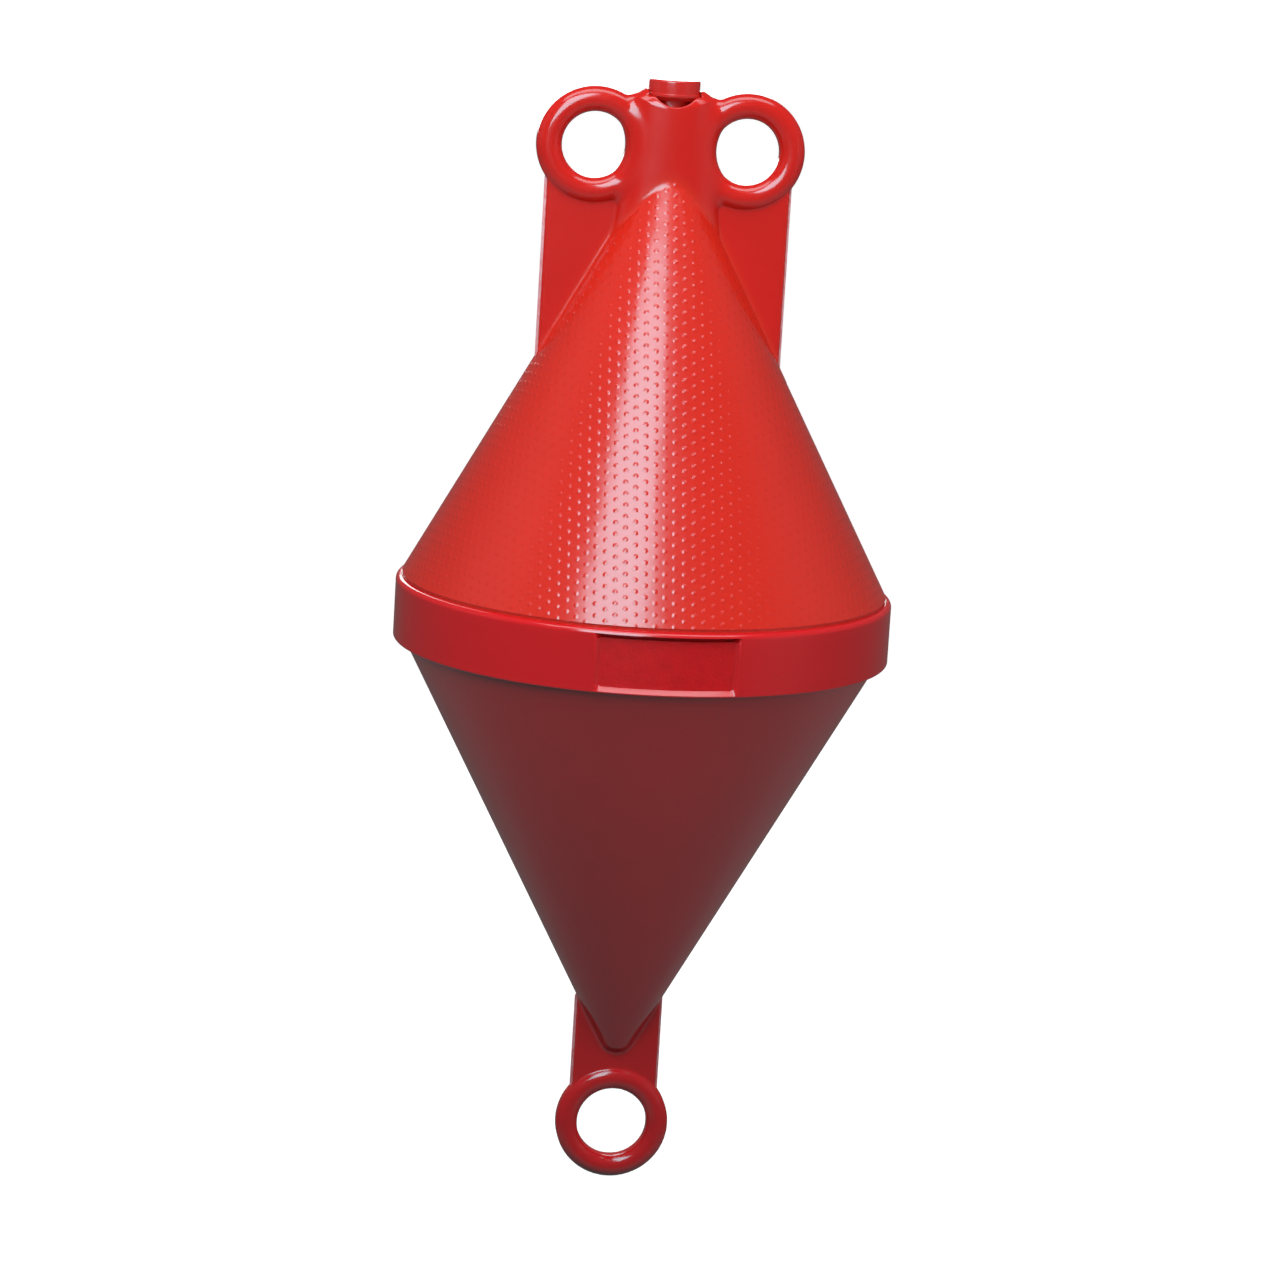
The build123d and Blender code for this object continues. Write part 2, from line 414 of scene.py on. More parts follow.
def slide(bm, form, steps=4, furthest=0.0015, nudge=1e-6, flattest=0.05):
    """Slide every vertex straight onto the zero skin of the form."""
    points = np.array([vert.co for vert in bm.verts])
    for _ in range(steps):
        distance = form(points)
        slope = np.stack([(form(points + nudge * way) - distance) / nudge for way in np.eye(3)], axis=1)
        move = distance / np.maximum((slope**2).sum(axis=1), flattest)
        points -= np.clip(move, -furthest, furthest)[:, None] * slope
    for vert, point in zip(bm.verts, points):
        vert.co = point


def moulded(bm, form, cell, passes=2):
    """Make one even skin round overlapping blanks, and draw it onto their rounded form."""
    rough = bpy.data.meshes.new("rough")
    bm.to_mesh(rough)
    holder = bpy.data.objects.new("rough", rough)
    bpy.context.scene.collection.objects.link(holder)
    cells = holder.modifiers.new("cells", "REMESH")
    cells.mode = "VOXEL"
    cells.voxel_size = cell
    even = bpy.data.meshes.new_from_object(holder.evaluated_get(bpy.context.evaluated_depsgraph_get()))
    bpy.data.objects.remove(holder)
    bm.clear()
    bm.from_mesh(even)
    for _ in range(passes):
        slide(bm, form, steps=2)
        bmesh.ops.smooth_vert(
            bm, verts=bm.verts, factor=0.5, use_axis_x=True, use_axis_y=True, use_axis_z=True
        )
    slide(bm, form)


def cut_off(bm, height, keep_above):
    """Cut a skin flat at a height, keep one side and close it."""
    geometry = bm.verts[:] + bm.edges[:] + bm.faces[:]
    bmesh.ops.bisect_plane(
        bm, geom=geometry, dist=1e-7, plane_co=(0, 0, height), plane_no=(0, 0, 1),
        clear_inner=keep_above, clear_outer=not keep_above,
    )
    rim = [edge for edge in bm.edges if edge.is_boundary]
    bmesh.ops.holes_fill(bm, edges=rim, sides=0)


def piece(name, bm, finish, replaced=(), crease=50):
    """Make an object of a bmesh, shaded smooth with sharp creases, that rides on the buoy."""
    bmesh.ops.recalc_face_normals(bm, faces=bm.faces)
    for face in bm.faces:
        face.smooth = True
    for edge in bm.edges:
        edge.smooth = edge.calc_face_angle(0) < radians(crease)
    mesh = bpy.data.meshes.new(name)
    bm.to_mesh(mesh)
    bm.free()
    made = bpy.data.objects.new(name, mesh)
    bpy.context.scene.collection.objects.link(made)
    made.data.materials.append(finish)
    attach(made, "root")
    if replaced:
        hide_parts(*replaced)


# Finishes


class Value:
    """A socket that takes part in Python sums, each of which adds a Math node."""

    def __init__(self, finish, socket):
        self.finish = finish
        self.socket = socket

    def math(self, operation, *others):
        """Add a Math node whose first input is this value."""
        inputs = dict(enumerate((self, *others)))
        node = self.finish.node("ShaderNodeMath", {"operation": operation}, inputs)
        return Value(self.finish, node.outputs[0])

    def flipped(self, operation, other):
        """Add a Math node whose second input is this value."""
        node = self.finish.node("ShaderNodeMath", {"operation": operation}, {0: other, 1: self})
        return Value(self.finish, node.outputs[0])

    def __add__(self, other):
        return self.math("ADD", other)

    def __sub__(self, other):
        return self.math("SUBTRACT", other)

    def __mul__(self, other):
        return self.math("MULTIPLY", other)

    def __truediv__(self, other):
        return self.math("DIVIDE", other)

    def __rsub__(self, other):
        return self.flipped("SUBTRACT", other)

    def __rtruediv__(self, other):
        return self.flipped("DIVIDE", other)

    __radd__ = __add__
    __rmul__ = __mul__


class Finish:
    """A node material on the buoy's own coordinates."""

    def __init__(self, name):
        self.material = bpy.data.materials.new(name)
        self.material.use_nodes = True
        self.tree = self.material.node_tree
        self.shader = self.tree.nodes["Principled BSDF"]
        self.place = self.node("ShaderNodeTexCoord").outputs["Object"]

    def node(self, kind, options=None, inputs=None):
        """Add a node, set its options and then set or link its sockets."""
        node = self.tree.nodes.new(kind)
        for name, option in (options or {}).items():
            setattr(node, name, option)
        for name, value in (inputs or {}).items():
            self.feed(node.inputs[name], value)
        return node

    def feed(self, socket, value):
        """Link a socket to a value, or set it to a number or a colour."""
        if isinstance(value, Value):
            value = value.socket
        if isinstance(value, bpy.types.NodeSocket):
            self.tree.links.new(value, socket)
        else:
            socket.default_value = value

    def value(self, socket):
        return Value(self, socket)

    def axes(self):
        """The X, Y and Z of each point as values."""
        split = self.node("ShaderNodeSeparateXYZ", inputs={"Vector": self.place})
        return [self.value(socket) for socket in split.outputs]

    def noise(self, scale, detail):
        inputs = {"Vector": self.place, "Scale": scale, "Detail": detail}
        return self.value(self.node("ShaderNodeTexNoise", inputs=inputs).outputs["Fac"])

    def ramp(self, value, low, high, low_result, high_result, smooth=True):
        """Carry a value from one range into another, held at both ends."""
        options = {"interpolation_type": "SMOOTHSTEP" if smooth else "LINEAR"}
        inputs = {
            "Value": value, "From Min": low, "From Max": high,
            "To Min": low_result, "To Max": high_result,
        }
        return self.value(self.node("ShaderNodeMapRange", options, inputs).outputs["Result"])

    def mix(self, share, one, other):
        """Mix two colours by a value."""
        inputs = {0: share, 6: one, 7: other}
        return self.node("ShaderNodeMix", {"data_type": "RGBA"}, inputs).outputs[2]

    def bump(self, height, distance):
        inputs = {"Height": height, "Distance": distance}
        return self.node("ShaderNodeBump", inputs=inputs).outputs["Normal"]

    def done(self, **sockets):
        """Set or link the shader's sockets, named with underscores for spaces."""
        _, finishes, _ = settings()
        self.shader.inputs["IOR"].default_value = finishes.refraction
        self.shader.inputs["Specular Tint"].default_value = (*finishes.sheen_tint, 1)
        for name, value in sockets.items():
            self.feed(self.shader.inputs[name.replace("_", " ")], value)
        return self.material


def shade(red, factor):
    """A colour made lighter or darker, with full alpha."""
    return (*[min(1, part * factor) for part in red], 1)


def clouded(finish, cloud, red, darkest=0.92, palest=1.08):
    """A red that the clouds in its pigment make darker and paler."""
    return finish.mix(cloud, shade(red, darkest), shade(red, palest))


def pigment(finish):
    """Clouds and fine flecks of the pigment, as values."""
    return finish.noise(scale=9, detail=3), finish.noise(scale=420, detail=2)


def moulding_marks(finish, skin_share):
    """Slow waves of a moulded wall and the fine grain of its skin, as one height."""
    waves = finish.noise(scale=38, detail=1)
    skin = finish.noise(scale=1500, detail=2)
    return waves + skin * skin_share


def moulded_plastic(name, red, roughness):
    """Smooth satin plastic: cloudy pigment, a little waviness and a fine skin."""
    finish = Finish(name)
    cloud, fleck = pigment(finish)
    fleck_share = fleck * 0.25
    base = finish.mix(fleck_share, clouded(finish, cloud, red), shade(red, 1.25))
    return finish.done(
        Base_Color=base,
        Roughness=roughness - 0.04 + cloud * 0.05 + fleck * 0.03,
        Normal=finish.bump(moulding_marks(finish, skin_share=0.04), skin_relief),
        Specular_IOR_Level=1.0,
    )


def dotted_plastic(name, finishes):
    """Plastic of the upper cone: dots in staggered columns, one flat pattern for each half of the mould."""
    finish = Finish(name)
    x, y, z = finish.axes()
    radius = (x * x + y * y).math("SQRT")
    below = apex_height - z
    slant = (radius * radius + below * below).math("SQRT")
    turned = x.math("ARCTAN2", y.math("ABSOLUTE")) * sin(atan2(upper_slope, 1))
    across = slant * turned.math("SINE") / finishes.dot_column
    down = slant * turned.math("COSINE") / finishes.dot_row
    stagger = (across.math("FLOOR") * 0.5).math("FRACT")
    off_across = (across.math("FRACT") - 0.5) * finishes.dot_column
    off_down = ((down + stagger).math("FRACT") - 0.5) * finishes.dot_row
    off = (off_across * off_across + off_down * off_down).math("SQRT")
    dot_top = finishes.dot_radius * 0.2
    dot = finish.ramp(off, finishes.dot_radius, dot_top, 0, 1, smooth=False)

    # Off the cone's wall, its dots, colour and roughness give way to those of the neck
    wall = radius - below * upper_slope
    dots_gone, dots_full = 0.0012, 0.0004
    colour_gone, roughness_gone, cone_full = 0.006, 0.004, 0.0005
    neck_roughness = finishes.gloss_roughness - 0.03
    on_cone = finish.ramp(wall, dots_gone, dots_full, 0, 1)
    cone_share = finish.ramp(wall, colour_gone, cone_full, 0, 1)
    roughness = finish.ramp(wall, roughness_gone, cone_full, neck_roughness, finishes.dotted_roughness)

    cloud, fleck = pigment(finish)
    neck_colour = clouded(finish, cloud, finishes.neck_red)
    cone_colour = clouded(finish, cloud, finishes.cone_red, darkest=0.94)
    dots = dot * on_cone * (finishes.dot_height / skin_relief)
    return finish.done(
        Base_Color=finish.mix(cone_share, neck_colour, cone_colour),
        Roughness=roughness + cloud * 0.04 + fleck * 0.03,
        Normal=finish.bump(dots + moulding_marks(finish, skin_share=0.05), skin_relief),
        Specular_IOR_Level=1.0,
    )


def grained_plastic(name, red):
    """Plastic of the name panel, with a fine matt grain."""
    finish = Finish(name)
    grain = finish.noise(scale=520, detail=3)
    coarse = finish.noise(scale=130, detail=2)
    return finish.done(
        Base_Color=clouded(finish, coarse, red, darkest=0.86, palest=1.15),
        Roughness=0.32 + grain * 0.15,
        Normal=finish.bump(grain + coarse * 0.6, grain_relief),
        Specular_IOR_Level=0.5,
    )


def edge_highlight_plastic(name, pink, red):
    """Plastic of a trimmed parting line, rough, with a pale pink painted on as the highlight of its rounded
    edge.
    """
    finish = Finish(name)
    patch = finish.noise(scale=160, detail=3)
    grain = finish.noise(scale=900, detail=2)
    patch_start, patch_full, most_red = 0.35, 0.75, 0.55
    # The pale pink is a painted highlight; random patches let the plastic's red show through it
    red_share = finish.ramp(patch, patch_start, patch_full, 0, most_red)
    return finish.done(
        Base_Color=finish.mix(red_share, (*pink, 1), shade(red, 1.2)),
        Roughness=0.5 + grain * 0.2,
        Normal=finish.bump(grain + patch, grain_relief),
        Specular_IOR_Level=1.0,
    )


def material(name):
    """One of the buoy's materials, made when first asked for."""
    if name in bpy.data.materials:
        return bpy.data.materials[name]
    _, finishes, _ = settings()
    if name == "dotted_plastic":
        return dotted_plastic(name, finishes)
    if name == "grained_plastic":
        return grained_plastic(name, finishes.panel_red)
    if name == "edge_highlight_plastic":
        return edge_highlight_plastic(name, finishes.flash_highlight_pink, finishes.hull_red)
    red = finishes.plug_red if name == "cap_plastic" else finishes.hull_red
    return moulded_plastic(name, red, finishes.gloss_roughness)


# Pieces


def upper_seam(sizes):
    """Height on the upper cone where its own piece ends and the moulded head begins."""
    return fin_low.z - sizes.seam_margin


def lower_seam(sizes):
    """Height on the lower cone where its own piece ends and the moulded foot begins."""
    return tang_high.z + sizes.seam_margin


def eye_sizes(node):
    """Centre of an eye, the radii of its hole and rim, and its depth."""
    low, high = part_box(node)
    return (low + high) / 2, hole_radius[node + "_bore"], (high.x - low.x) / 2, high.y - low.y


def fin_corners(side, top, sizes):
    """Two corners of a fin's web, from inside the neck out to its parting line."""
    low, high = [corner.copy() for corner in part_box("fin_" + side)]
    high.z = top
    if side == "left":
        low.x += sizes.flash_stand
        high.x = -sizes.neck_waist_radius / 2
    else:
        low.x = sizes.neck_waist_radius / 2
        high.x -= sizes.flash_stand
    return low, high


def shoulder_blank(bm, way, sizes):
    """Add a small block for the shoulder at one side of the plug, which grows onto its form."""
    half_width, half_depth, root, cover = 0.002, 0.009, 0.003, 0.001
    low = Vector((-half_width, -half_depth, -root))
    high = Vector((half_width, half_depth, sizes.shoulder_rise - cover))
    place = (way * (socket_radius(sizes) + half_width), 0, neck_high.z)
    bmesh.ops.translate(bm, verts=block(bm, low, high), vec=place)


def eye_on_web(points, hull, eye, web, hull_blend, sizes):
    """Forms of an eye and its web, each joined to the hull and to the other."""
    centre, hole, rim, _ = eye
    ring = eye_form(points, *eye)
    plate = plate_form(points, *web, sizes.web_edge_round)
    plate = np.maximum(plate, -hole_form(points, centre, (hole + rim) / 2))
    return [
        blend(hull, ring, hull_blend),
        blend(hull, plate, sizes.web_hull_blend),
        blend(ring, plate, sizes.eye_web_blend),
    ]


class BUOY_OT_upper_cone(bpy.types.Operator):
    """Model the plain part of the upper cone, from the band up to the head"""

    bl_idname = "buoy.upper_cone"
    bl_label = "Upper cone"

    def execute(self, context):
        sizes, _, _ = settings()
        bm = bmesh.new()
        seam = upper_seam(sizes)
        groove_top = cone_low.z + sizes.groove_height
        groove_radius = cone_high.x - sizes.groove_depth
        outline = [
            (0, cone_low.z), (groove_radius, cone_low.z), (groove_radius, groove_top),
            (cone_radius(groove_top), groove_top), (cone_radius(seam), seam), (0, seam),
        ]
        turn(bm, outline, sizes.turn_steps)
        piece("upper_cone_skin", bm, material("dotted_plastic"), ["upper_cone"])
        return {"FINISHED"}


class BUOY_OT_head(bpy.types.Operator):
    """Model the neck with both eyes and fins and the cone round them, as one moulded skin"""

    bl_idname = "buoy.head"
    bl_label = "Head"

    def execute(self, context):
        sizes, _, _ = settings()
        seam = upper_seam(sizes)
        below = seam - sizes.seam_margin
        outline = upper_outline(sizes, below)
        bm = bmesh.new()
        turn(bm, [(0, below), (cone_radius(below), below), (0, apex_height)], sizes.turn_steps)
        neck_corner = Vector((sizes.neck_top_radius, sizes.neck_half_depth, 0))
        block(bm, Vector((0, 0, neck_low.z)) - neck_corner, Vector((0, 0, neck_high.z)) + neck_corner)
        arms = []
        for side, way in (("left", -1), ("right", 1)):
            shoulder_blank(bm, way, sizes)
            eye = eye_sizes("eye_" + side)
            ring_blank(bm, *eye)
            centre, hole, rim, _ = eye
            web_low, web_high = fin_corners(side, centre.z, sizes)
            web_top = centre.z - hole - (rim - hole) / 4
            block(bm, web_low, Vector((web_high.x, web_high.y, web_top)))
            arms.append((eye, (web_low, web_high)))
        notch_radius = (sizes.notch_half_width**2 + sizes.notch_depth**2) / (2 * sizes.notch_depth)
        notch_height = neck_high.z - sizes.notch_depth + notch_radius
        socket_floor = neck_high.z + socket_floor_rise

        def head_form(points):
            x, y, z = points.T
            flats = np.abs(y) - sizes.neck_half_depth
            neck = -blend(-turned_form(points, outline), -flats, sizes.neck_side_round)
            hull = blend(neck, cone_form(points), sizes.cone_neck_blend)
            for (centre, hole, _, _), _ in arms:
                hull = trim(hull, hole_form(points, centre, hole), sizes.hole_edge_round)
            parts = [hull]
            for eye, web in arms:
                parts += eye_on_web(points, hull, eye, web, sizes.eye_neck_blend, sizes)
            notch = np.maximum(np.hypot(x, z - notch_height) - notch_radius, y)
            socket = np.where(y < 0, np.abs(x), np.hypot(x, y)) - socket_radius(sizes)
            socket = np.maximum(socket, socket_floor - z)
            return trim(np.minimum.reduce(parts), np.minimum(notch, socket), sizes.notch_round)

        moulded(bm, head_form, sizes.cell)
        cut_off(bm, seam, keep_above=True)
        piece(
            "head_skin", bm, material("dotted_plastic"),
            ["neck", "eye_left", "eye_right", "fin_left", "fin_right"],
        )
        return {"FINISHED"}


class BUOY_OT_lower_cone(bpy.types.Operator):
    """Model the plain part of the lower cone, from the band down to the foot"""

    bl_idname = "buoy.lower_cone"
    bl_label = "Lower cone"

    def execute(self, context):
        sizes, _, _ = settings()
        bm = bmesh.new()
        seam = lower_seam(sizes)
        seam_radius = lower_outline(sizes, seam)[0].x
        outline = [(0, tip_high.z), (lower_base_radius, tip_high.z), (seam_radius, seam), (0, seam)]
        turn(bm, outline, sizes.turn_steps)
        piece("lower_cone_skin", bm, material("smooth_plastic"), ["lower_cone"])
        return {"FINISHED"}


class BUOY_OT_foot(bpy.types.Operator):
    """Model the tip of the lower cone with its tang and eye, as one moulded skin"""

    bl_idname = "buoy.foot"
    bl_label = "Foot"

    def execute(self, context):
        sizes, _, _ = settings()
        seam = lower_seam(sizes)
        above = seam + sizes.seam_margin
        outline = lower_outline(sizes, above)
        eye = eye_sizes("eye_bottom")
        centre, hole, rim, _ = eye
        web_low = Vector((tang_low.x + sizes.flash_stand, tang_low.y, centre.z))
        web_high = Vector((tang_high.x - sizes.flash_stand, tang_high.y, tang_high.z))
        bm = bmesh.new()
        turn(bm, [(0, above)] + outline, sizes.turn_steps)
        ring_blank(bm, *eye)
        web_foot = centre.z + hole + (rim - hole) / 4
        block(bm, Vector((web_low.x, web_low.y, web_foot)), web_high - Vector((0, 0, sizes.seam_margin)))

        def foot_form(points):
            hull = turned_form(points, outline)
            return np.minimum.reduce(
                eye_on_web(points, hull, eye, (web_low, web_high), sizes.eye_web_blend, sizes)
            )

        moulded(bm, foot_form, sizes.cell)
        cut_off(bm, seam, keep_above=False)
        piece("foot_skin", bm, material("smooth_plastic"), ["tang", "eye_bottom"])
        return {"FINISHED"}


class BUOY_OT_band(bpy.types.Operator):
    """Model the girth band with its soft rim and recess, and the blank name panel in it"""

    bl_idname = "buoy.band"
    bl_label = "Girth band"

    def execute(self, context):
        sizes, _, _ = settings()
        inner = cone_high.x - band_wall
        face = -panel_low.y
        seat = face - panel_stand
        lip = panel_high.z
        slot = lip - sizes.slot_height
        ledge_top = panel_low.z + sizes.panel_ledge / 2
        ledge_foot = ledge_top - sizes.panel_ledge

        # Rows of vertices close to each edge of the recess keep it crisp
        lip_row, slot_row, ledge_row = 0.00005, 0.0004, 0.0006
        heights = edge_heights(band_high.z, sizes.rim_round) + edge_heights(band_low.z, sizes.band_foot_round)
        heights += [lip + lip_row, lip, slot, slot - slot_row, 0]
        heights += [ledge_top + ledge_row, ledge_top, ledge_foot, ledge_foot - ledge_row]
        outline = [(inner, band_high.z)]
        outline += [(band_radius(height, sizes), height) for height in sorted(heights, reverse=True)]
        outline += [(inner, band_low.z), (inner, band_high.z)]
        bm = bmesh.new()
        turn(bm, outline, sizes.band_steps)

        side_angle = sizes.panel_side / band_high.x
        for vert in bm.verts:
            radius = vert.co.xy.length
            if vert.co.z > lip or radius < seat:
                continue
            off = abs(atan2(vert.co.x, -vert.co.y))
            share = clamp((sizes.panel_half_angle - off) / side_angle)
            rise = clamp((vert.co.z - ledge_foot) / sizes.panel_ledge)
            seated = seat - sizes.slot_depth * clamp((vert.co.z - slot) / slot_row + 1)
            sunk = (seated - radius) * rise * ease(share)
            vert.co.xy *= 1 + sunk / radius
        piece("band_skin", bm, material("smooth_plastic"), ["girth_band"], band_crease)

        bm = bmesh.new()
        plate_angle = sizes.panel_half_angle - side_angle / 2
        bent_plate(bm, seat - panel_root, face, ledge_foot, slot, plate_angle)
        finish = material("grained_plastic")
        piece("name_panel_skin", bm, finish, ["name_panel"], band_crease)
        return {"FINISHED"}


class BUOY_OT_filler_plug(bpy.types.Operator):
    """Model the filler plug: a lipped cap on its stem"""

    bl_idname = "buoy.filler_plug"
    bl_label = "Filler plug"

    def execute(self, context):
        sizes, _, _ = settings()
        bevel_steepness = 0.85
        stem_round, bevel_round, lip_round, cap_round = 0.0012, 0.0003, 0.0004, 0.0014
        lip_foot = neck_high.z + lip_foot_rise
        lip_top = lip_foot + sizes.plug_lip
        underside = lip_foot - sizes.plug_bevel * bevel_steepness
        cap_radius = sizes.plug_radius - sizes.plug_step
        outline = rounded([
            (0, plug_low.z, 0),
            (sizes.stem_radius, plug_low.z, stem_round),
            (sizes.stem_radius, underside, 0),
            (sizes.plug_radius - sizes.plug_bevel, underside, bevel_round),
            (sizes.plug_radius, lip_foot, lip_round),
            (sizes.plug_radius, lip_top, lip_round),
            (cap_radius, lip_top, 0),
            (cap_radius, plug_high.z, cap_round),
            (0, plug_high.z, 0),
        ], steps=6)
        bm = bmesh.new()
        turn(bm, outline, sizes.plug_steps)
        piece("filler_plug_skin", bm, material("cap_plastic"), ["filler_plug"])
        return {"FINISHED"}


class BUOY_OT_parting_lines(bpy.types.Operator):
    """Model the trimmed flash along the outer edges of the fins and the tang, painted paler as their edge
    highlight
    """

    bl_idname = "buoy.parting_lines"
    bl_label = "Parting lines"

    def execute(self, context):
        sizes, _, _ = settings()
        root, in_cone, in_eye, in_lower_eye = 0.002, 0.002, 0.004, 0.026
        half = sizes.flash_thickness / 2
        depth = sizes.flash_stand + root
        fin_span = (fin_low.z - in_cone, fin_high.z + in_eye)
        tang_span = (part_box("eye_bottom")[1].z - in_lower_eye, tang_high.z - in_cone)
        for name, outer, way, (bottom, top) in (
            ("flash_left", -fin_high.x, 1, fin_span),
            ("flash_right", fin_high.x, -1, fin_span),
            ("flash_foot_left", tang_low.x, 1, tang_span),
            ("flash_foot_right", tang_high.x, -1, tang_span),
        ):
            inner = outer + way * depth
            bm = bmesh.new()
            block(bm, Vector((min(outer, inner), -half, bottom)), Vector((max(outer, inner), half, top)))
            bmesh.ops.bevel(
                bm, geom=bm.edges[:], offset=half * 0.7, affect="EDGES", segments=3, profile=0.5, material=-1
            )
            # Each flash carries the pale pink painted on as its edge highlight
            piece(name, bm, material("edge_highlight_plastic"))
        return {"FINISHED"}


# Stage


def aimed(position, target, roll=0.0):
    """A matrix at a position whose -Z looks at the target, turned by roll."""
    forward = (target - position).normalized()
    right = forward.cross(Vector((0, 0, 1))).normalized()
    up = right.cross(forward)
    side = right * cos(roll) + up * sin(roll)
    over = up * cos(roll) - right * sin(roll)
    turn_matrix = Matrix((side, over, -forward)).transposed().to_4x4()
    return Matrix.Translation(position) @ turn_matrix


def around(azimuth, elevation, distance):
    """A point round the buoy: azimuth to the left of the front and elevation, both in radians."""
    return distance * Vector((-cos(elevation) * sin(azimuth), -cos(elevation) * cos(azimuth), sin(elevation)))


def softbox(
    name, azimuth, elevation, power, distance=1.2, width=0.8, height=0.8, gloss=True, tint=(1, 1, 1)
):
    """An area light aimed at the buoy, placed by angles in degrees.

    The camera never sees it, and the buoy's gloss doesn't where it only fills.
    """
    light = bpy.data.lights.new(name, "AREA")
    light.shape = "RECTANGLE"
    light.size = width
    light.size_y = height
    light.energy = power
    light.color = tint
    lamp = bpy.data.objects.new(name, light)
    lamp.matrix_world = aimed(around(radians(azimuth), radians(elevation), distance), Vector((0, 0, 0)))
    lamp.visible_camera = False
    lamp.visible_glossy = gloss
    bpy.context.scene.collection.objects.link(lamp)


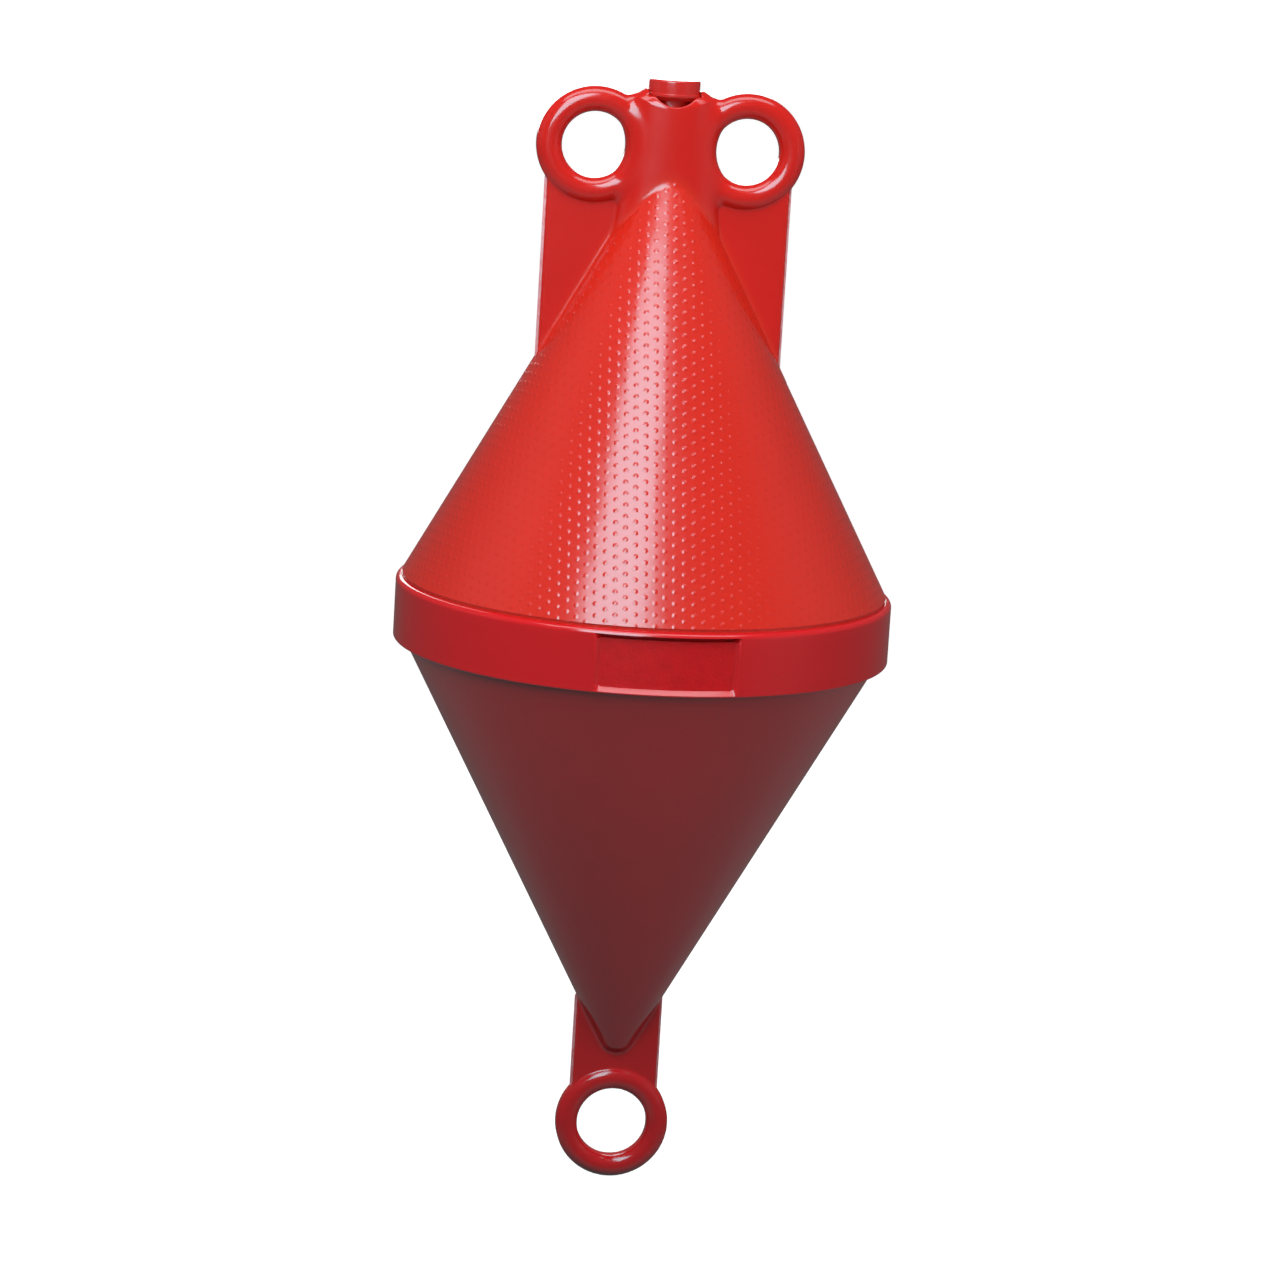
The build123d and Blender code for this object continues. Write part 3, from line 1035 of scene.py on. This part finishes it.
class BUOY_OT_stage(bpy.types.Operator):
    """Set up the camera, the soft lights and the pale floor"""

    bl_idname = "buoy.stage"
    bl_label = "Stage"

    def execute(self, context):
        scene = context.scene
        _, _, stage = settings()
        self.camera(scene, stage)
        self.lights(stage)
        self.floor(stage)
        self.surround(stage)
        scene.view_settings.view_transform = "Standard"
        return {"FINISHED"}

    def camera(self, scene, stage):
        """The camera at the photograph's place."""
        lens = bpy.data.cameras.new("camera")
        lens.lens = stage.lens
        lens.shift_x = stage.shift_right
        lens.shift_y = stage.shift_up
        camera = bpy.data.objects.new("camera", lens)
        aim = Vector((0, 0, stage.aim_height))
        position = around(stage.azimuth, stage.elevation, stage.distance) + aim
        camera.matrix_world = aimed(position, aim, stage.roll)
        scene.collection.objects.link(camera)
        scene.camera = camera

    def lights(self, stage):
        """Softboxes round the buoy, brightest in front."""
        low_right_share, right_share = 2, 0.7
        softbox(
            "key", azimuth=19.5, elevation=40, power=stage.key_power,
            distance=1.04, width=0.48, height=0.66, tint=stage.key_tint,
        )
        softbox(
            "top", azimuth=0, elevation=60, power=stage.top_power,
            distance=2.2, width=1.0, height=1.0, gloss=False,
        )
        softbox(
            "overhead", azimuth=5, elevation=76, power=stage.overhead_power,
            distance=1.5, width=1.7, height=0.5,
        )
        softbox(
            "low front", azimuth=15, elevation=16, power=stage.low_power,
            distance=1.1, width=0.6, height=0.4, gloss=False,
        )
        softbox(
            "low right", azimuth=-60, elevation=5, power=stage.low_power * low_right_share,
            distance=1.5, gloss=False,
        )
        softbox("left", azimuth=90, elevation=25, power=stage.side_power, gloss=False)
        softbox("right", azimuth=-90, elevation=25, power=stage.side_power * right_share, gloss=False)
        softbox("back", azimuth=180, elevation=30, power=stage.back_power)

    def floor(self, stage):
        """A wide pale floor just under the lowest eye, which casts no light or shadow on the buoy."""
        half_width, gap = 40, 0.0005
        bm = bmesh.new()
        bmesh.ops.create_grid(bm, x_segments=1, y_segments=1, size=half_width)
        bmesh.ops.translate(bm, verts=bm.verts, vec=(0, 0, cad_low.z - gap))
        mesh = bpy.data.meshes.new("floor")
        bm.to_mesh(mesh)
        bm.free()
        floor = bpy.data.objects.new("floor", mesh)
        bpy.context.scene.collection.objects.link(floor)
        finish = Finish("pale_floor")
        finish.done(
            Base_Color=shade(stage.floor_grey, 0.25),
            Roughness=0.9,
            Specular_IOR_Level=0.1,
            Emission_Color=(*stage.floor_grey, 1),
            Emission_Strength=1.05,
        )
        mesh.materials.append(finish.material)
        floor.visible_diffuse = False
        floor.visible_glossy = False
        floor.visible_shadow = False

    def surround(self, stage):
        """White to the camera and dim in the buoy's gloss, where its lower half is paler."""
        fade_start, fade_end = -0.3, -0.6
        world = bpy.data.worlds.new("surround")
        bpy.context.scene.world = world
        world.use_nodes = True
        nodes, links = world.node_tree.nodes, world.node_tree.links
        background = nodes["Background"]
        background.inputs["Color"].default_value = (1, 1, 1, 1)
        rays = nodes.new("ShaderNodeLightPath")
        way = nodes.new("ShaderNodeTexCoord")
        axes = nodes.new("ShaderNodeSeparateXYZ")
        fade = nodes.new("ShaderNodeMapRange")
        fade.inputs["From Min"].default_value = fade_start
        fade.inputs["From Max"].default_value = fade_end
        fade.inputs["To Min"].default_value = stage.gloss_above
        fade.inputs["To Max"].default_value = stage.gloss_below
        gloss = nodes.new("ShaderNodeMath")
        gloss.operation = "MULTIPLY"
        brightest = nodes.new("ShaderNodeMath")
        brightest.operation = "MAXIMUM"
        links.new(way.outputs["Generated"], axes.inputs["Vector"])
        links.new(axes.outputs["Z"], fade.inputs["Value"])
        links.new(fade.outputs["Result"], gloss.inputs[0])
        links.new(rays.outputs["Is Glossy Ray"], gloss.inputs[1])
        links.new(rays.outputs["Is Camera Ray"], brightest.inputs[0])
        links.new(gloss.outputs[0], brightest.inputs[1])
        links.new(brightest.outputs[0], background.inputs["Strength"])


class BUOY_PT_sidebar(bpy.types.Panel):
    """The buoy's steps and sizes in the 3D view's sidebar"""

    bl_label = "Mooring buoy"
    bl_idname = "BUOY_PT_sidebar"
    bl_space_type = "VIEW_3D"
    bl_region_type = "UI"
    bl_category = "Buoy"

    def draw(self, context):
        for step in STEPS:
            self.layout.operator(step.bl_idname)
        for group in (context.scene.buoy_sizes, context.scene.buoy_finishes, context.scene.buoy_stage):
            box = self.layout.box()
            for name in group.__annotations__:
                box.prop(group, name)


STEPS = (
    BUOY_OT_stage,
    BUOY_OT_upper_cone,
    BUOY_OT_head,
    BUOY_OT_band,
    BUOY_OT_lower_cone,
    BUOY_OT_foot,
    BUOY_OT_filler_plug,
    BUOY_OT_parting_lines,
)
GROUPS = {"buoy_sizes": BuoySizes, "buoy_finishes": BuoyFinishes, "buoy_stage": BuoyStage}


def register():
    for kind in (*GROUPS.values(), *STEPS, BUOY_PT_sidebar):
        bpy.utils.register_class(kind)
    for name, group in GROUPS.items():
        setattr(bpy.types.Scene, name, PointerProperty(type=group))


def unregister():
    for name in GROUPS:
        delattr(bpy.types.Scene, name)
    for kind in reversed((*GROUPS.values(), *STEPS, BUOY_PT_sidebar)):
        bpy.utils.unregister_class(kind)


def main():
    register()
    for step in STEPS:
        group, name = step.bl_idname.split(".")
        getattr(getattr(bpy.ops, group), name)()


if __name__ == "__main__":
    main()
